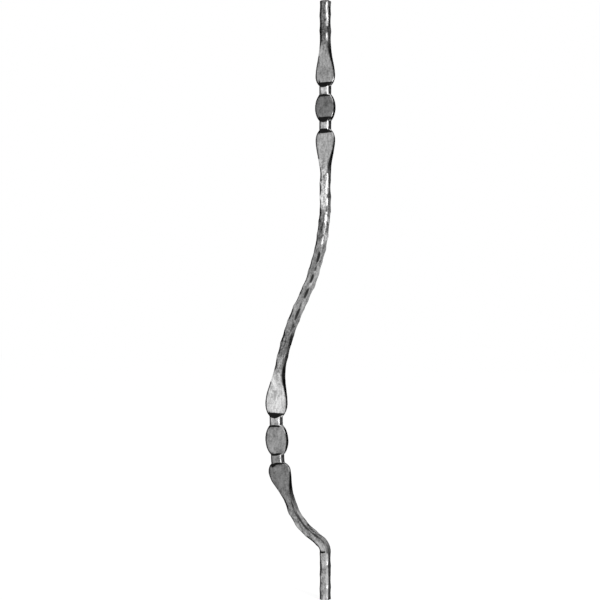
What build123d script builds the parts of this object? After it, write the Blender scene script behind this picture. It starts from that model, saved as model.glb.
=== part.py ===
"""Wrought iron belly baluster, forged in one piece from a square bar.

Millimetres, Z up. The origin is the middle of the bottom end. The belly swings out to -X and the broad
faces of the two knuckle groups look along Y. Distances named "along" are measured on the bent axis of the
bar, from the bottom end, which is how the smith marks out the straight bar before bending it.
"""

import os
from dataclasses import dataclass
from math import ceil, pi, radians, sin, sqrt, tan

from build123d import *

# The bar
overall_height = 1000.0
bar_size = 16.0
bar_corner = 1.4
knee_corner = 2.8

# The bends of the axis, from the bottom up: where the straight runs would meet, and the bend's radius
knee_height = 89.8
knee_radius = 19.0
heel_reach = 51.5
heel_height = 123.0
heel_radius = 108.0
belly_foot_reach = 89.4
belly_foot_height = 212.0
belly_foot_radius = 105.0
belly_reach = 98.2
belly_height = 394.6
belly_radius = 410.0
shoulder_height = 581.0
shoulder_radius = 355.0

# The bar turns a little about its own axis, and back again, between the groups and below the lower one
swan_turn = 15.0
shank_turn = 9.0

# Hammer blows on the corners of the plain bar
hammer_crown = 58.0
hammer_length = 30.0
hammer_depth = 2.55
hammer_pitch = 22.0
hammer_wander = 3.5
hammer_lean = 10.0
hammer_unevenness = 0.16
# How fast wander, lean and depth change from blow to blow and from corner to corner, in radians
wander_rhythm = (1.9, 2.3)
lean_rhythm = (3.1, 0.9)
depth_rhythm = (2.4, 1.7)

# Die mark left across the inner half of the front face where the knee begins
die_mark_rise = 2.0
die_mark_radius = 3.5
die_mark_depth = 0.9
die_mark_lean = 8.0

# Where the two groups sit: the middle of each oval, from the bottom end and from the top end
lower_group_rise = 293.0
upper_group_drop = 178.7
neck_corner = 2.4
rim_corner = 0.9

# How far a die cuts past a face, and how far plates and necks run on inside one another
die_overlap = 0.5
plate_overlap = 1.0
neck_overlap = 5.0

# Most of a straight run that the bends at its two ends may take up between them
bend_share = 0.98

# Spacing and number of the sections that the bent stretches and the groups are lofted through; a run
# shorter than short_run, such as the knee, gets the closer spacing
section_step = 9.0
short_run = 27.0
knee_step = 4.0
tip_sections = 5
flare_sections = 7
neck_sections = 6


@dataclass
class Knuckle:
    """A forged group: paddle, neck, flat oval, neck and paddle, spaced from the middle of the oval."""

    middle_along: float
    oval_length: float
    oval_width: float
    oval_thickness: float
    oval_lower_ramp: float
    oval_upper_ramp: float
    neck_length: float
    neck_width: float
    paddle_width: float
    paddle_thickness: float
    lower_ramp: float
    upper_ramp: float
    lower_tip: float
    upper_tip: float
    lower_flare: float
    upper_flare: float

    def bar_below(self):
        """Distance along the bar at which the lower paddle has run out into plain bar."""
        reach = self.oval_length / 2 + self.neck_length + self.lower_ramp + self.lower_tip + self.lower_flare
        return self.middle_along - reach

    def bar_above(self):
        """The same for the upper paddle."""
        reach = self.oval_length / 2 + self.neck_length + self.upper_ramp + self.upper_tip + self.upper_flare
        return self.middle_along + reach


def fitting_radii(corners, radii):
    """The bends' radii, each limited so that two neighbours fit on the straight run between them."""
    points = [Vector(*corner) for corner in corners]
    runs = [b - a for a, b in zip(points, points[1:])]
    setbacks = [r * tan(radians(u.get_angle(v)) / 2) for r, u, v in zip(radii, runs, runs[1:])]
    taken = [a + b for a, b in zip([0] + setbacks, setbacks + [0])]
    room = [min(1, bend_share * run.length / used) for run, used in zip(runs, taken)]
    return [r * min(before, after) for r, before, after in zip(radii, room, room[1:])]


# Axis of the bar
axis_corners = [
    (0, 0),
    (0, knee_height),
    (-heel_reach, heel_height),
    (-belly_foot_reach, belly_foot_height),
    (-belly_reach, belly_height),
    (0, shoulder_height),
    (0, overall_height),
]
axis_radii = [knee_radius, heel_radius, belly_foot_radius, belly_radius, shoulder_radius]
with BuildLine(Plane.XZ) as axis:
    FilletPolyline(*axis_corners, radius=fitting_radii(axis_corners, axis_radii))
axis_wire = axis.wire()
bar_length = axis_wire.length
bend_ends = [0.0]
for run in axis.edges().sort_by(axis_wire):
    bend_ends.append(bend_ends[-1] + run.length)
knee_start, knee_end = bend_ends[1], bend_ends[2]

lower_group = Knuckle(
    middle_along=lower_group_rise,
    oval_length=52.2,
    oval_width=41.4,
    oval_thickness=9.0,
    oval_lower_ramp=3.5,
    oval_upper_ramp=3.0,
    neck_length=12.2,
    neck_width=20.2,
    paddle_width=41.4,
    paddle_thickness=6.0,
    lower_ramp=5.0,
    upper_ramp=7.5,
    lower_tip=10.8,
    upper_tip=16.4,
    lower_flare=47.0,
    upper_flare=59.5,
)
upper_group = Knuckle(
    middle_along=bar_length - upper_group_drop,
    oval_length=46.0,
    oval_width=35.2,
    oval_thickness=9.0,
    oval_lower_ramp=7.0,
    oval_upper_ramp=5.0,
    neck_length=12.5,
    neck_width=17.2,
    paddle_width=34.8,
    paddle_thickness=6.0,
    lower_ramp=6.0,
    upper_ramp=8.5,
    lower_tip=13.0,
    upper_tip=8.5,
    lower_flare=50.0,
    upper_flare=52.0,
)


def swell(along, start, end):
    """0 outside start..end, rising smoothly to 1 halfway."""
    if along <= start or along >= end:
        return 0.0
    return sin(pi * (along - start) / (end - start)) ** 2


def ease(u):
    """Smooth step from 0 to 1."""
    return u * u * (3 - 2 * u)


def across(along, lean=0):
    """The plane square to the bar: its x lies in the plane of the belly and its y looks to the back."""
    middle = axis_wire.position_at(along, PositionMode.LENGTH)
    up = axis_wire.tangent_at(along, PositionMode.LENGTH)
    lean -= swan_turn * swell(along, lower_group.bar_above(), upper_group.bar_below())
    lean -= shank_turn * swell(along, knee_start, lower_group.bar_below())
    return Plane(middle, x_dir=Vector(0, 1, 0).cross(up).rotate(Axis((0, 0, 0), up), lean), z_dir=up)


def section(along, width=bar_size, thickness=bar_size, corner=bar_corner):
    """A rectangle with its corners knocked down, square to the bar."""
    with BuildSketch(across(along)) as outline:
        Rectangle(width, thickness)
        chamfer(outline.vertices(), corner)
    return outline.sketch


def plain_bar(start, end):
    """Square bar between two distances: one loft for each straight run or bend."""
    ends = [start] + [d for d in bend_ends if start < d < end] + [end]
    for low, high in zip(ends, ends[1:]):
        step = knee_step if high - low < short_run else section_step
        count = ceil((high - low) / step)
        sections = []
        for i in range(count + 1):
            along = low + (high - low) * i / count
            worn = swell(along, knee_start - bar_size, knee_end + bar_size)
            sections.append(section(along, corner=bar_corner + (knee_corner - bar_corner) * worn))
        loft(sections)


def oval_end(neck_width, width, length):
    """Half the length of an ellipse of that width which is as wide as the neck at that length."""
    return length / sqrt(1 - (neck_width / width) ** 2)


def paddle(group, up):
    """Paddle on the upper (up = 1) or lower (up = -1) side of a group, from inside the neck to the bar."""
    if up > 0:
        ramp, tip, flare = group.upper_ramp, group.upper_tip, group.upper_flare
    else:
        ramp, tip, flare = group.lower_ramp, group.lower_tip, group.lower_flare
    neck_end = group.middle_along + up * (group.oval_length / 2 + group.neck_length)
    widest = neck_end + up * (ramp + tip)
    reach = oval_end(group.neck_width, group.paddle_width, ramp + tip)
    sections = []
    for i in range(tip_sections):
        away = (ramp + tip + plate_overlap) * (1 - i / tip_sections)
        width = group.paddle_width * sqrt(1 - (away / reach) ** 2)
        sections.append(section(widest - up * away, width, group.paddle_thickness, rim_corner))
    for i in range(flare_sections + 1):
        u = 1 - i / flare_sections
        width = bar_size + (group.paddle_width - bar_size) * ease(u)
        thickness = bar_size + (group.paddle_thickness - bar_size) * ease(u)
        corner = bar_corner + (rim_corner - bar_corner) * ease(u)
        sections.append(section(widest + up * flare * (1 - u), width, thickness, corner))
    loft(sections)


def facing(along, side, height=0):
    """A plane on the bar's broad side: its z looks to the back (side = 1) or the front (side = -1)."""
    square = across(along)
    outward = square.y_dir * side
    return Plane(square.origin + outward * height, x_dir=square.x_dir, z_dir=outward)


def press_die(at_surface, at_floor, floor_thickness):
    """Sinks a round die into both broad sides. It reaches between two distances along the bar, given where
    it enters the surface of the neck and where it comes down on the thinner plate."""
    floor = floor_thickness / 2
    surface = bar_size / 2
    for side in (-1, 1):
        rings = []
        for height in (floor - die_overlap, surface + die_overlap):
            share = (height - floor) / (surface - floor)
            low, high = (f + (s - f) * share for f, s in zip(at_floor, at_surface))
            with BuildSketch(facing((low + high) / 2, side, height)) as ring:
                Circle(abs(high - low) / 2)
            rings.append(ring.sketch)
        loft(rings, ruled=True, mode=Mode.SUBTRACT)


def necks(group):
    """Both necks of a group, as thick as the bar, hollowed by the dies that flattened oval and paddles."""
    half = group.oval_length / 2
    middle = group.middle_along
    sides = ((-1, group.lower_ramp), (1, group.upper_ramp))
    with BuildPart() as block:
        for up, ramp in sides:
            inner = middle + up * half / 2
            outer = middle + up * (half + group.neck_length + ramp + neck_overlap)
            stations = [inner + (outer - inner) * i / neck_sections for i in range(neck_sections + 1)]
            loft([section(d, group.neck_width, bar_size, neck_corner) for d in stations])
        at_floor = (middle - half + group.oval_lower_ramp, middle + half - group.oval_upper_ramp)
        press_die((middle - half, middle + half), at_floor, group.oval_thickness)
        for up, ramp in sides:
            near = middle + up * (half + group.neck_length)
            far = near + up * (group.paddle_width + ramp)
            press_die((near, far + up * ramp), (near + up * ramp, far), group.paddle_thickness)
    return block.part


def oval(group):
    """Flat oval of a group, an ellipse that is as wide as the necks where it meets them."""
    reach = oval_end(group.neck_width, group.oval_width, group.oval_length / 2)
    with BuildPart() as plate:
        with BuildSketch(facing(group.middle_along, 1)):
            Ellipse(group.oval_width / 2, reach)
        extrude(amount=group.oval_thickness / 2, both=True)
        chamfer(plate.edges().filter_by(GeomType.ELLIPSE), rim_corner)
    return plate.part


def hammer_blows(start, end):
    """Where the hammer meets all four corners: unevenly spaced, struck harder and leant over by turns."""

    def uneven(rhythm):
        by_blow, by_corner = rhythm
        return sin(by_blow * blow + by_corner * corner + start)

    places = []
    count = max(1, round((end - start) / hammer_pitch))
    pitch = (end - start) / count
    for corner in range(4):
        for blow in range(count):
            along = start + pitch * (blow + 0.5) + hammer_wander * uneven(wander_rhythm)
            lean = 45 + 90 * corner + hammer_lean * uneven(lean_rhythm)
            depth = hammer_depth * (1 + hammer_unevenness * uneven(depth_rhythm))
            struck = across(along, lean)
            deepest = struck.from_local_coords((bar_size / sqrt(2) - depth, 0, 0))
            places.append(Plane(deepest, x_dir=struck.x_dir, z_dir=struck.z_dir))
    return places


# Crowned face of the hammer: its x points out of the bar and its z along it
with BuildPart() as hammer:
    with BuildSketch(Plane.XZ):
        with BuildLine():
            half = hammer_length / 2
            sag = hammer_crown - sqrt(hammer_crown**2 - half**2)
            crown = ThreePointArc((sag, -half), (0, 0), (sag, half))
            Polyline(crown @ 1, (2 * hammer_depth, half), (2 * hammer_depth, -half), crown @ 0)
        make_face()
    extrude(amount=bar_size / 2, both=True)

# Hammered corners, clear of the knee
blows = hammer_blows(0, knee_start)
blows += hammer_blows(knee_end, lower_group.bar_below())
blows += hammer_blows(lower_group.bar_above(), upper_group.bar_below())
blows += hammer_blows(upper_group.bar_above(), bar_length)

groups = (lower_group, upper_group)
plates_and_necks = [shape(group) for group in groups for shape in (oval, necks)]

with BuildPart() as baluster:
    for group in groups:
        paddle(group, -1)
        paddle(group, 1)
    add(plates_and_necks)
    plain_bar(0, lower_group.bar_below())
    plain_bar(lower_group.bar_above(), upper_group.bar_below())
    plain_bar(upper_group.bar_above(), bar_length)
    with Locations(*blows):
        add(hammer.part, mode=Mode.SUBTRACT)
    # Die mark at the knee
    face = across(knee_start + die_mark_rise, -die_mark_lean)
    away = bar_size / 2 - die_mark_depth + die_mark_radius
    with Locations(Plane(face.from_local_coords((0, -away, 0)), x_dir=face.z_dir, z_dir=face.x_dir)):
        Cylinder(die_mark_radius, 2 * bar_size, mode=Mode.SUBTRACT)

baluster.part.label = "baluster"
os.makedirs("parts", exist_ok=True)
export_step(baluster.part, "parts/baluster.step")
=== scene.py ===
# %% [markdown]
# # A forged belly baluster, dressed for its picture
# A stair baluster of this kind is one square iron bar. The smith forges two groups of paddles, necks and
# flat ovals into it, knocks its corners down with the hammer and bends it into a belly.
# The solid model already has these shapes at their real size, so this lesson is about the skin: how raw
# forged iron rounds over at its edges, where the dark scale stays on it, where it is rubbed bright and
# where light and shade are painted into its colour.

# %% Load the solid model
import math

import bmesh
import bpy
import numpy as np
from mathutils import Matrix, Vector, noise


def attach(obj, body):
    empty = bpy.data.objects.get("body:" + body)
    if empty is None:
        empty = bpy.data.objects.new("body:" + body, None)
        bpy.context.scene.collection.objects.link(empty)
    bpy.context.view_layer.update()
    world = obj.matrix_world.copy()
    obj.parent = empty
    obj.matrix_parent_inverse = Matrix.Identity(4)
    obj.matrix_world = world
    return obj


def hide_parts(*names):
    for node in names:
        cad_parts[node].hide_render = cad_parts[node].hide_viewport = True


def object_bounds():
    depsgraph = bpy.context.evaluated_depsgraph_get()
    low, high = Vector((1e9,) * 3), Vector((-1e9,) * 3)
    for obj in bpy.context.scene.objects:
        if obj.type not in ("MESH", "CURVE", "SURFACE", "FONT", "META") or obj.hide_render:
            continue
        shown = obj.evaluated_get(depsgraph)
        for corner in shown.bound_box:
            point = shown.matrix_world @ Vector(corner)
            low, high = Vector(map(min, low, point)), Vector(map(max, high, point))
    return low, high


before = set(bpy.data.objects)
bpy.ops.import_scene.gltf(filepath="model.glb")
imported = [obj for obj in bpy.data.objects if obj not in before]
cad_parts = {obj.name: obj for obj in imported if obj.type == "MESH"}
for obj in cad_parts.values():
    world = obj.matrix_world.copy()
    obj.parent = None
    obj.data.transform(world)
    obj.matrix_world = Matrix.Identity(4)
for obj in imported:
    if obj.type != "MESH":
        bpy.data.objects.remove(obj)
solid_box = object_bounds()
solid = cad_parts["baluster"]
print("solid model:", len(solid.data.polygons), "triangles")
print("its box:", [tuple(round(x, 3) for x in corner) for corner in solid_box])

# %% [markdown]
# ## The camera
# The picture was taken from the front and a little to the right, level with the middle of the bar. The
# belly looks slightly smaller than it would from far away, so the camera stood about two metres off.
# A camera could be turned by hand until it fits. Here it is placed by an angle and a distance, so that each
# number can be checked against the picture on its own.

# %% Place the camera
viewing_angle = math.radians(27)
viewing_distance = 1.9
picture_middle = Vector((-0.0377, -0.0192, 0.5))
sensor_width = 36
focal_length = 68.2

towards_camera = Vector((math.sin(viewing_angle), -math.cos(viewing_angle), 0))
camera = bpy.data.objects.new("camera", bpy.data.cameras.new("camera"))
camera.data.sensor_width = sensor_width
camera.data.lens = focal_length
camera.location = picture_middle + towards_camera * viewing_distance
camera.rotation_euler = (-towards_camera).to_track_quat("-Z", "Y").to_euler()
bpy.context.scene.collection.objects.link(camera)
bpy.context.scene.camera = camera
bpy.context.scene.view_settings.view_transform = "Standard"
print("camera at", [round(x, 3) for x in camera.location])

# %% [markdown]
# ## The skin of the bar
# The solid has flat facets and sharp ridges. Hot iron doesn't: every ridge rolls over by a few tenths of a
# millimetre. A bevel on every edge would be one way, but the hammer facets meet in odd little corners that
# a bevel can't follow. So a copy of the solid is merged into one closed mesh and rebuilt from voxels just
# under a millimetre wide. That gives an even mesh with slightly round ridges, fine enough to carry dents.

# %% Rebuild the bar as one even mesh
merge_distance = 1e-6
voxel = 0.00095

shell = bmesh.new()
shell.from_mesh(solid.data)
bmesh.ops.remove_doubles(shell, verts=shell.verts, dist=merge_distance)
bar = bpy.data.objects.new("forged_bar", bpy.data.meshes.new("forged_bar"))
shell.to_mesh(bar.data)
shell.free()
bpy.context.scene.collection.objects.link(bar)

rebuild = bar.modifiers.new("even mesh", "REMESH")
rebuild.mode = "VOXEL"
rebuild.voxel_size = voxel
rebuilt = bpy.data.meshes.new_from_object(bar.evaluated_get(bpy.context.evaluated_depsgraph_get()))
bar.modifiers.remove(rebuild)
bar.data = rebuilt
print("forged bar:", len(rebuilt.vertices), "points,", len(rebuilt.polygons), "faces")

# %% [markdown]
# ## Hammer dents
# Between the big facets the faces of a forged bar are never quite flat. The anvil and the hammer leave
# shallow dishes a finger wide, and scale pressed in by the blows leaves fine pits.
# Both could be faked with a bump in the material, but a dent also bends the outline and stays in the mesh
# when it is used elsewhere. So the points are moved: relaxed first, then pushed along their normals by two
# noises.

# %% Relax the voxel steps and dent the faces
relax_passes = 2
relax_factor = 0.5
dish_width = 0.012
dish_depth = 0.00022
pit_width = 0.0026
pit_depth = 0.00007

skin = bmesh.new()
skin.from_mesh(bar.data)
for _ in range(relax_passes):
    bmesh.ops.smooth_vert(
        skin, verts=skin.verts, factor=relax_factor, use_axis_x=True, use_axis_y=True, use_axis_z=True
    )
skin.normal_update()
for point in skin.verts:
    dish = noise.noise(point.co / dish_width)
    pit = noise.noise(point.co / pit_width)
    point.co += point.normal * (dish * dish_depth + pit * pit_depth)
for face in skin.faces:
    face.smooth = True
skin.normal_update()
skin.to_mesh(bar.data)
skin.free()
print("dented to a depth of", dish_depth * 1000, "mm")

# %% [markdown]
# ## The bar's own directions
# What happens to the iron follows the bar and not the room: it is drawn out along the bar, struck on its
# corners and pressed between dies from front and back. So the script needs to know, at each point, which
# way the bar runs.
# A curve drawn by hand through the bar would do. The bar never turns back on itself, though, so thin level
# slices of the mesh give its middle line, and the slope of that line gives its direction.

# %% Cut the bar into level slices
slice_height = 0.002
slices_evened = 5

count = len(bar.data.vertices)
place = np.empty(count * 3)
bar.data.vertices.foreach_get("co", place)
place = place.reshape(-1, 3)
normal = np.empty(count * 3)
bar.data.vertices.foreach_get("normal", normal)
normal = normal.reshape(-1, 3)
depth = place[:, 1]
height = place[:, 2]

slices = round(solid_box[1][2] / slice_height)
slice_of = np.clip((height / slice_height).astype(int), 0, slices - 1)
slice_heights = (np.arange(slices) + 0.5) * slice_height


def per_slice(values):
    """One sum for each slice of the bar."""
    return np.bincount(slice_of, values, slices)


def evened(values):
    """Values of the slices, each averaged with its neighbours up and down."""
    window = np.ones(2 * slices_evened + 1) / (2 * slices_evened + 1)
    return np.convolve(np.pad(values, slices_evened, mode="edge"), window, mode="valid")


def at_points(values):
    """Values of the slices, read off at the height of each point."""
    return np.interp(height, slice_heights, values)


print(slices, "slices of", slice_height * 1000, "mm")

# %% Find the middle line and what each point faces
middle_x = evened(per_slice(place[:, 0]) / per_slice(np.ones(count)))
slope = np.gradient(middle_x, slice_height)
stretch = np.sqrt(1 + slope**2)
run_x = at_points(slope / stretch)
run_z = at_points(1 / stretch)
facing_along = normal[:, 0] * run_x + normal[:, 2] * run_z
facing_side = normal[:, 0] * run_z - normal[:, 2] * run_x
facing_back = normal[:, 1]

off_middle = place[:, 0] - at_points(middle_x)
across = off_middle * run_z
length_below = np.cumsum(stretch) * slice_height
distance = at_points(length_below) + off_middle * run_x
print("the bar is", round(float(distance.max()), 3), "m long on its middle line")

# %% [markdown]
# The bar also turns a little about its own length. Its four faces repeat every quarter turn, so the
# direction that most of a slice's faces share, counted in quarter turns, says how far the slice is turned.
# A point that faces halfway between two of them is on a corner.

# %% Find the corners
faces_round = 4
most_lean = 0.4

facing_angle = faces_round * np.arctan2(facing_back, facing_side)
upright = np.abs(facing_along) < most_lean
turned = np.arctan2(
    evened(per_slice(np.sin(facing_angle) * upright)),
    evened(per_slice(np.cos(facing_angle) * upright)),
)
cornering = 0.5 - 0.5 * np.cos(facing_angle - at_points(turned))
print("turned by", round(math.degrees(np.abs(turned).max()) / faces_round, 1), "degrees at most")

# %% [markdown]
# ## Plates, necks and plain bar
# The dies press some stretches thin and leave the necks between them as thick as the bar. The heights of
# these stretches could be typed in. They also show in the slices, though: measured from front to back near
# the middle, a plate is thinner than the bar. So the script finds them, and they stay right if the solid
# changes.

# %% Measure the thickness of each slice
plate_limit = 0.0125
middle_strip = 0.004
shortest_plate = 2 * slice_height
longest_neck = 0.03

strip = np.abs(across) < middle_strip
front = np.zeros(slices)
back = np.zeros(slices)
np.minimum.at(front, slice_of[strip], depth[strip])
np.maximum.at(back, slice_of[strip], depth[strip])
thin = np.concatenate([[False], back - front < plate_limit, [False]])
edges = np.flatnonzero(np.diff(thin.astype(int))) * slice_height
plates = [(low, high) for low, high in zip(edges[::2], edges[1::2]) if high - low > shortest_plate]
gaps = [(below[1], above[0]) for below, above in zip(plates, plates[1:])]
necks = [(low, high) for low, high in gaps if high - low < longest_neck]
print("plates at", [(round(low, 3), round(high, 3)) for low, high in plates])
print("necks at", [(round(low, 3), round(high, 3)) for low, high in necks])

# %% [markdown]
# ## The iron's tones, with painted light and shade
# Black scale forms on hot iron, and dies, hammer and wire brush take it off again. Each stretch gets a grey
# of its own with painted light and shade in it: the necks and the long paddle above the belly are painted
# nearly bright, the ovals and the top dull. On most of the bar the facets carry a painted glint along with
# rubbed-bright wear, and the lips between them painted shade. On the slope and in the swan's bend the
# facets carry painted shade instead.
# A painter would draw all this by hand. Here the measures of the mesh say where, and named values say how
# much.

# %% Say how bright the faces, facets, lips and sides of each stretch are
# Painted shade: the edges and sides of the plates and necks are painted near black, and each stretch's face
# tone has painted light and shade in it.
edge_shade = 0.03
plate_side_shade = 0.015
plate_mottle = 0.5
plate_tones_and_light = {
    "lower paddle": 0.20,
    "lower oval": 0.28,
    "belly paddle": 0.62,
    "shoulder paddle": 0.37,
    "upper oval": 0.17,
    "top paddle": 0.33,
}
neck_side_shade = 0.10
neck_mottle = 0.7
# The tone of each neck's faces, with painted light in it, and the painted highlight on the rims and corners
# next to it
neck_tones_and_light = {
    "below the lower oval": (0.27, 0.34),
    "above the lower oval": (0.40, 0.44),
    "below the upper oval": (0.54, 0.60),
    "above the upper oval": (0.56, 0.60),
}
# From and to which height, then the tones of its faces, facets, lips and sides, and how mottled it is.
# The faces carry painted light, the facets painted glints (painted shade on the slope, belly and swan), and
# the lips and sides painted shade
bar_tones_and_light = {
    "leg": (0.000, 0.075, 0.38, 0.45, 0.06, 0.08, 0.7),
    "slope": (0.095, 0.130, 0.28, 0.05, 0.10, 0.30, 0.9),
    "belly": (0.410, 0.440, 0.20, 0.12, 0.16, 0.06, 1.2),
    "swan": (0.460, 0.580, 0.28, 0.03, 0.28, 0.32, 0.7),
    "shoulder": (0.600, 0.635, 0.14, 0.40, 0.05, 0.30, 1.3),
    "below the upper group": (0.675, 0.710, 0.60, 0.62, 0.05, 0.12, 1.0),
    "top": (0.945, 1.000, 0.14, 0.60, 0.04, 0.08, 1.5),
}

tones = []
for low, high, *stretch_tones in bar_tones_and_light.values():
    tones += [(low, *stretch_tones), (high, *stretch_tones)]
for (low, high), face in zip(plates, plate_tones_and_light.values()):
    plate = (face, edge_shade, edge_shade, plate_side_shade, plate_mottle)
    tones += [(low, *plate), (high, *plate)]
for (low, high), (face, _) in zip(necks, neck_tones_and_light.values()):
    tones.append(((low + high) / 2, face, edge_shade, edge_shade, neck_side_shade, neck_mottle))
tone_heights, *tone_lists = zip(*sorted(tones))
face_tone_and_light, facet_glint_and_shade, lip_shade, side_shade, mottle_depth = (
    np.interp(height, tone_heights, values) for values in tone_lists
)
print(len(tones), "tones from bottom to top")

# %% [markdown]
# Scale also stays in small hollows, where the brush can't follow. A point lies in a hollow if the points
# next to it stand higher, so each point is compared with the mean of its neighbours. A map baked to an
# image would say the same, but a number kept on each point needs no image.

# %% Measure hollows
hollow_passes = 4

links = np.empty(len(bar.data.edges) * 2, dtype=int)
bar.data.edges.foreach_get("vertices", links)
one, other = links.reshape(-1, 2).T
neighbours = np.bincount(links, minlength=count)


def neighbour_mean(values):
    """Each point's value averaged over the points that an edge joins it to."""
    total = np.bincount(one, values[other], count) + np.bincount(other, values[one], count)
    return total / neighbours


def spread(values, passes):
    """Values that run over into their neighbours, so that they have soft edges."""
    for _ in range(passes):
        values = 0.5 * values + 0.5 * neighbour_mean(values)
    return values


around = np.stack([neighbour_mean(place[:, axis]) for axis in range(3)], axis=1)
sunk = spread(np.sum((around - place) * normal, axis=1) / voxel, hollow_passes)
print("sunk by", [round(float(x), 3) for x in np.percentile(sunk, [1, 50, 99])], "voxels")


# %% [markdown]
# The dies are round. Where one ends, it leaves a steep ramp up to the neck. The ramp and what the die's rim
# left uncovered of the plate are painted black as shade. So each black is a crescent: straight on the plate
# and round up the ramp, as the die was. Some are wide and some are narrow, listed one by one for each end.
# The knee has a thin painted shade as well, on the broad faces that lean along the bent bar.

# %% Find the painted shade on the ramps and at the knee
def step(values, low, high):
    """0 below low, 1 above high, smooth between."""
    u = np.clip((values - low) / (high - low), 0, 1)
    return u * u * (3 - 2 * u)


die_half_width = 0.0125
# How far each painted shade reaches up the ramp and onto the plate
wide_black = (0.0054, 0.0034)
middle_black = (0.0036, 0.0030)
narrow_black = (0.0030, 0.0004)
# For each group, at the ends of its plates from bottom to top
blacks = (
    (narrow_black, narrow_black, narrow_black, wide_black),
    (middle_black, wide_black, narrow_black, wide_black),
)
soft_edge = 0.0014
knee_shade = (0.078, 0.100)
knee_lean = (0.06, 0.16)
broad_face = 0.8

groups = (plates[:3], plates[3:])
# Painted shade: the leaning faces at the knee, and each ramp with its crescent, are painted black.
at_knee = (height > knee_shade[0]) & (height < knee_shade[1]) & (np.abs(facing_back) > broad_face)
shade_mask = at_knee * step(facing_along, *knee_lean)
arc = np.maximum(1 - (across / die_half_width) ** 2, 0)
for (lower, oval, upper), group_blacks in zip(groups, blacks):
    ends = ((lower[1], -1), (oval[0], 1), (oval[1], -1), (upper[0], 1))
    for (end, up), (up_the_ramp, onto_the_plate) in zip(ends, group_blacks):
        into_plate = up * (distance - np.interp(end, slice_heights, length_below))
        uncovered = 1 - step(into_plate - onto_the_plate, -soft_edge, soft_edge)
        ramp_side = step(into_plate + up_the_ramp * arc, -soft_edge, soft_edge)
        shade_mask = np.maximum(shade_mask, uncovered * ramp_side)
print("black on", round(float(shade_mask.mean()), 3), "of the skin")

# %% [markdown]
# Each blow on a corner leaves a facet. The lip between two facets stands a little further out, so the
# distance from the middle of the bar tells one from the other. In the groups the dies press the corners all
# along, so every corner there counts as a facet.

# %% Find the facets and the lips between them
lip_height = 0.0004
group_margin = 0.012
corner_range = (0.45, 0.85)
# From and to which height, and how far from the middle the facets reach
facet_reaches = {
    "leg": (0.000, 0.075, 0.0099),
    "slope and belly": (0.090, 0.440, 0.0095),
    "swan": (0.460, 0.580, 0.0092),
    "shoulder and top": (0.600, 1.000, 0.0095),
}

reach_heights = [end for low, high, _ in facet_reaches.values() for end in (low, high)]
reaches = [reach for _, _, reach in facet_reaches.values() for _ in range(2)]
above_facet = np.hypot(across, depth) - np.interp(height, reach_heights, reaches)
struck = 1 - step(above_facet, 0, lip_height)
for lower, oval, upper in groups:
    inside = (height > lower[1] - group_margin) & (height < upper[0] + group_margin)
    struck = np.where(inside, 1, struck)
corner = spread(step(cornering, *corner_range), 1)
print("facets on", round(float((corner * struck).mean()), 3), "of the skin")

# %% [markdown]
# Now the tones come together. A face takes the tone of its stretch, and the narrow faces on the right take
# the painted shade of the sides. Near the necks the corners get a painted highlight. The front corner on
# the belly's side gets painted shade: its facets are black, with a black margin on the face beside them.

# %% Mix the tones of faces, sides, facets and lips
rim_reach = (0.006, 0.014)
belly_range = (0.001, 0.003)
front_range = (0, 0.002)
margin_range = (0.15, 0.5)
margin_passes = 6
margin_gain = 3
margin_strength = 0.95
side_range = (0.75, 0.9)

# Painted highlight on the corners and rims near each neck.
for (low, high), (_, rim_highlight) in zip(necks, neck_tones_and_light.values()):
    near_neck = 1 - step(np.maximum(low - height, height - high), *rim_reach)
    facet_glint_and_shade = np.maximum(facet_glint_and_shade, rim_highlight * near_neck)
# Painted shade on the belly's front corner: black facets, and lips at the face's tone.
belly_side_shade = step(-across, *belly_range) * step(-depth, *front_range)
facet_glint_and_shade += belly_side_shade * (edge_shade - facet_glint_and_shade)
lip_shade += belly_side_shade * (face_tone_and_light - lip_shade)

# Painted shade as a dark margin on the face beside those facets.
beside_facet = spread(step(cornering, *margin_range) * struck, margin_passes)
shaded_margin = belly_side_shade * np.clip(margin_gain * beside_facet, 0, 1)
tone_and_light = face_tone_and_light * (1 - margin_strength * shaded_margin)
# Painted shade on the right-hand faces, then painted glints and shade on the corners.
tone_and_light += step(facing_side, *side_range) * (side_shade - tone_and_light)
tone_and_light += corner * (struck * facet_glint_and_shade + (1 - struck) * lip_shade - tone_and_light)
print("tone is", round(float(tone_and_light.mean()), 3), "on average")

# %% [markdown]
# The dies leave a rim round each plate too. On the right it is a thin line, with a painted highlight near
# the necks. On the belly's side it is broad and painted black as shade. The left edge of the top stretch is
# painted black as shade as well.
# A rim is found by its distance from the outline of the slice, made smaller where the outline slants.

# %% Add the rims of the plates and the painted shade at the top edge
dark_rim = 0.0042
bright_rim = 0.0013
brightest_rim = 0.60
rim_front = (0.3, 0.6)
ramp_length = 0.003
top_edge = (0.93, 0.95)
top_edge_width = (0.0045, 0.0062)
facet_calm = 0.6

rightmost = np.zeros(slices)
leftmost = np.zeros(slices)
np.maximum.at(rightmost, slice_of, across)
np.minimum.at(leftmost, slice_of, across)
slant = np.hypot(1, np.gradient(rightmost - leftmost, slice_height) / 2)
from_left = across - at_points(leftmost)
from_rim = np.minimum(at_points(rightmost) - across, from_left) / at_points(slant)
on_plate = np.zeros(count, dtype=bool)
for low, high in plates:
    on_plate |= (height > low - ramp_length) & (height < high + ramp_length)
# Painted highlight on the thin right rim near the necks, painted shade on the broad rim on the belly's
# side.
rim_width = bright_rim + (dark_rim - bright_rim) * belly_side_shade
rim_highlight_and_shade = on_plate * (1 - step(from_rim, rim_width / 2, rim_width)) * step(np.abs(facing_back), *rim_front)
tone_and_light += rim_highlight_and_shade * (facet_glint_and_shade - tone_and_light)
shade_mask *= 1 - rim_highlight_and_shade * facet_glint_and_shade / brightest_rim

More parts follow.
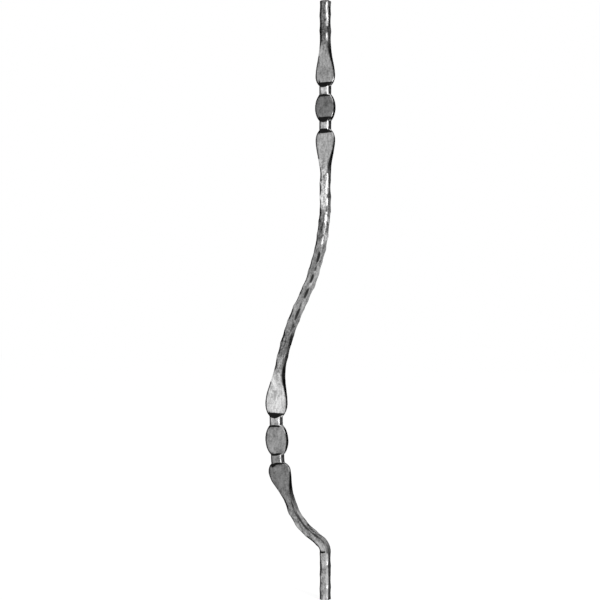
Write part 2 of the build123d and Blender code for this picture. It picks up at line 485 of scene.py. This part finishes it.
# Painted shade along the left edge of the top stretch.
top_edge_shade = step(height, *top_edge) * (1 - step(from_left, *top_edge_width))
tone_and_light += top_edge_shade * (edge_shade - tone_and_light)
mottle_depth *= 1 - facet_calm * corner * struck
print("rims on", round(float(rim_highlight_and_shade.mean()), 3), "of the skin")

# %% [markdown]
# ## Numbers on the points
# A material can't measure all this by itself, but it can read numbers that the mesh carries. So each
# measure becomes an attribute of the points. The last one is the place of a point on the bar as if it were
# straight: across it, through it and along it. A pattern that reads it follows every bend.

# %% Keep the measures as attributes
black_passes = 2
hollow_range = (0.02, 0.08)
most_mottle = 2


def keep(name, values):
    """Stores one number per point, from 0 to 1, for the material to read."""
    attribute = bar.data.attributes.new(name, "FLOAT", "POINT")
    attribute.data.foreach_set("value", np.clip(values, 0, 1).astype(np.float32))
    print(name, "is", round(float(np.mean(values)), 3), "on average")


# The painted shade of the ramps, and the tones with their painted light and shade, go on the points.
keep("ramp_shade", spread(shade_mask, black_passes))
keep("hollow", step(sunk, *hollow_range))
keep("facet", corner * struck)
keep("tone_and_light", tone_and_light)
keep("mottle", mottle_depth / most_mottle)
straight = bar.data.attributes.new("straight", "FLOAT_VECTOR", "POINT")
on_straight_bar = np.stack([across, depth, distance], axis=1)
straight.data.foreach_set("vector", on_straight_bar.astype(np.float32).ravel())

# %% [markdown]
# ## The finish: raw forged iron
# Raw iron is a grey metal with a broken sheen. Seen close, it has fine dark grain drawn out along the bar
# and cloudy patches where the scale came off unevenly. Its ramps carry painted shade, nearly black, and its
# corners painted glints along with wear.
# A shader of this kind is mostly sums, so the next cell makes sums easy to write: a small class wraps a
# socket, and an ordinary Python sum on it adds the Math nodes.

# %% A socket that can be used in sums
class Wire:
    """One value in a material: sums on it add Math nodes."""

    def __init__(self, socket):
        self.socket = socket

    def combine(self, operation, first, second):
        node = self.socket.id_data.nodes.new("ShaderNodeMath")
        node.operation = operation
        for end, value in zip(node.inputs, (first, second)):
            feed(end, value)
        return Wire(node.outputs[0])

    def __add__(self, value):
        return self.combine("ADD", self, value)

    def __radd__(self, value):
        return self.combine("ADD", value, self)

    def __sub__(self, value):
        return self.combine("SUBTRACT", self, value)

    def __rsub__(self, value):
        return self.combine("SUBTRACT", value, self)

    def __mul__(self, value):
        return self.combine("MULTIPLY", self, value)

    def __rmul__(self, value):
        return self.combine("MULTIPLY", value, self)

    def at_least(self, value):
        return self.combine("MAXIMUM", self, value)


def feed(socket, value):
    """Links a wire to a socket, or sets the socket to a number, vector or colour."""
    if isinstance(value, Wire):
        socket.id_data.links.new(value.socket, socket)
    else:
        socket.default_value = value


class Bench:
    """A material's nodes, with one way to add any of them."""

    def __init__(self, owner):
        owner.use_nodes = True
        self.tree = owner.node_tree
        self.tree.nodes.clear()

    def node(self, kind, settings=None, sockets=None, out=0):
        """Adds a node, makes its settings and then feeds its sockets. Gives one of its outputs."""
        node = self.tree.nodes.new("ShaderNode" + kind)
        for name, value in (settings or {}).items():
            setattr(node, name, value)
        ends = {end.identifier: end for end in node.inputs}
        for name, value in (sockets or {}).items():
            feed(ends[name], value)
        return Wire(node.outputs[out]) if node.outputs else None


def grey(level):
    """A grey colour, from 0 for black to 1 for white."""
    return (level, level, level, 1)


# %% [markdown]
# Four noises of different sizes make the surface uneven: clouds as wide as a thumb, streaks of grain drawn
# out along the bar, fine speckle, and patches that roughen the edges of the black ramps. They read the
# straightened bar, so that the streaks follow every bend.

# %% Make the noises
cloud_size = 0.018
grain_size = 0.0042
speckle_size = 0.0028
patch_size = 0.006
drawn_out = (1, 1, 0.3)
noise_range = (0.3, 0.7)

iron = bpy.data.materials.new("forged_iron")
bench = Bench(iron)
position = bench.node("Attribute", {"attribute_name": "straight"}, out="Vector")
drawn = bench.node("Mapping", sockets={"Vector": position, "Scale": drawn_out})


def clouds(vector, size, detail=4, roughness=0.55):
    """A noise whose patches are about so many metres wide."""
    return bench.node(
        "TexNoise",
        {"noise_dimensions": "3D"},
        {"Vector": vector, "Scale": 1 / size, "Detail": detail, "Roughness": roughness},
        out="Fac",
    )


def remap(value, low, high):
    """0 below low, 1 above high, smooth between."""
    return bench.node(
        "MapRange",
        {"interpolation_type": "SMOOTHSTEP"},
        {"Value": value, "From Min": low, "From Max": high},
        out="Result",
    )


cloud = remap(clouds(position, cloud_size), *noise_range) - 0.5
grain = remap(clouds(drawn, grain_size, detail=3, roughness=0.7), *noise_range) - 0.5
speckle = remap(clouds(position, speckle_size, detail=2), *noise_range) - 0.5
patch = clouds(position, patch_size, detail=3) - 0.5
print("noises made from", len(bench.tree.nodes), "nodes")

# %% [markdown]
# The noises lighten and darken the tone, more on some stretches than on others. Painted shade covers the
# ramps with black, and scale darkens and dulls the hollows. Scale is rough and a struck facet is smooth, so
# the sheen changes too.
# Polished iron seen at a low angle shines like a mirror. Raw iron is too dull for that, so its tint at low
# angles is dark.

# %% Mix the finish
cloud_depth = 0.35
grain_depth = 0.55
speckle_depth = 0.40
mottle_gain = 2
darkest_mottle = 0.15
patch_depth = 0.7
ramp_range = (0.25, 0.55)
hollow_scale = 0.6
scale_and_shade_black = 0.016
plain_roughness = 0.40
grain_roughness = 0.10
scale_roughness = 0.12
facet_polish = 0.16
relief_strength = 0.3
relief_depth = 0.0004
grain_relief = 0.7
speckle_relief = 0.3
low_angle_tint = 0.2


def measured(name):
    """One of the numbers that the points carry."""
    return bench.node("Attribute", {"attribute_name": name}, out="Fac")


uneven = cloud_depth * cloud + grain_depth * grain + speckle_depth * speckle
mottle = 1 + mottle_gain * most_mottle * measured("mottle") * uneven
mottled = measured("tone_and_light") * mottle.at_least(darkest_mottle)
bare = bench.node("CombineColor", sockets={"Red": mottled, "Green": mottled, "Blue": mottled})
ramp_shade = remap(measured("ramp_shade") + patch_depth * patch, *ramp_range)
# Painted shade on the ramps, together with scale in the hollows.
scale_and_shade = ramp_shade.at_least(measured("hollow") * hollow_scale)
colour = bench.node(
    "Mix",
    {"data_type": "RGBA"},
    {"Factor_Float": scale_and_shade, "A_Color": bare, "B_Color": grey(scale_and_shade_black)},
    out=2,
)
dullness = plain_roughness + grain_roughness * grain + scale_roughness * scale_and_shade
relief = bench.node(
    "Bump",
    sockets={
        "Strength": relief_strength,
        "Distance": relief_depth,
        "Height": grain * grain_relief + speckle * speckle_relief,
    },
    out="Normal",
)
shader = bench.node(
    "BsdfPrincipled",
    sockets={
        "Base Color": colour,
        "Roughness": dullness - facet_polish * measured("facet"),
        "Metallic": 1,
        "Specular Tint": grey(low_angle_tint),
        "Normal": relief,
    },
)
bench.node("OutputMaterial", sockets={"Surface": shader})
bar.data.materials.clear()
bar.data.materials.append(iron)
print("finish mixed from", len(bench.tree.nodes), "nodes")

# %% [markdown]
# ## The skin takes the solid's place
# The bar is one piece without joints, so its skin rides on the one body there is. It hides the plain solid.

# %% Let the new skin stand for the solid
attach(bar, "root")
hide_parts("baluster")
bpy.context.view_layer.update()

# %% [markdown]
# ## The studio
# The bar stands on a white floor in front of white. A brighter lamp would turn the surroundings white, but
# the iron would wash out with them. So the light stays plain, and only what the camera sees of the
# surroundings, straight or in a reflection, is lifted to white. The floor still takes the bar's shadow.

# %% White floor and white surroundings
daylight = 0.45
floor_white = 0.85
floor_reach = 6


def seen(bench):
    """1 for what the camera sees, also by reflection, and 0 for the light that falls on things."""
    straight_on = bench.node("LightPath", out="Is Camera Ray")
    reflected = bench.node("LightPath", out="Is Glossy Ray")
    let_through = bench.node("LightPath", out="Is Transmission Ray")
    return straight_on.at_least(reflected).at_least(let_through)


world = bpy.data.worlds.new("white studio")
bpy.context.scene.world = world
air = Bench(world)
strength = daylight + (1 - daylight) * seen(air)
sky = air.node("Background", sockets={"Color": grey(1), "Strength": strength})
air.node("OutputWorld", sockets={"Surface": sky})

slab = bmesh.new()
bmesh.ops.create_grid(slab, x_segments=1, y_segments=1, size=floor_reach)
floor = bpy.data.objects.new("floor", bpy.data.meshes.new("floor"))
slab.to_mesh(floor.data)
slab.free()
bpy.context.scene.collection.objects.link(floor)
paint = bpy.data.materials.new("white floor")
tub = Bench(paint)
lift = (1 - floor_white * daylight) * seen(tub)
matt = tub.node("BsdfDiffuse", sockets={"Color": grey(floor_white)})
glow = tub.node("Emission", sockets={"Color": grey(1), "Strength": lift})
both = tub.node("AddShader", sockets={"Shader": matt, "Shader_001": glow})
tub.node("OutputMaterial", sockets={"Surface": both})
floor.data.materials.append(paint)
print("floor and surroundings are white")

# %% [markdown]
# One tall softbox stands on the right. It is as tall as the bar and more, so that the glint on the corners
# runs all the way from the leg to the top. A small lamp would leave one bright spot.

# %% One softbox
lamp_angle = math.radians(63)
lamp_distance = 2.0
lamp_height = 0.7
lamp_width = 0.5
lamp_length = 1.6
lamp_power = 14
bar_middle = Vector((-0.03, 0, 0.5))

lamp = bpy.data.objects.new("key softbox", bpy.data.lights.new("key softbox", "AREA"))
lamp.data.shape = "RECTANGLE"
lamp.data.size = lamp_width
lamp.data.size_y = lamp_length
lamp.data.energy = lamp_power
towards_lamp = Vector((math.sin(lamp_angle), -math.cos(lamp_angle), 0))
lamp.location = towards_lamp * lamp_distance + Vector((0, 0, lamp_height))
lamp.rotation_euler = (bar_middle - lamp.location).to_track_quat("-Z", "Y").to_euler()
bpy.context.scene.collection.objects.link(lamp)
print("softbox of", lamp_power, "W at", [round(x, 2) for x in lamp.location])
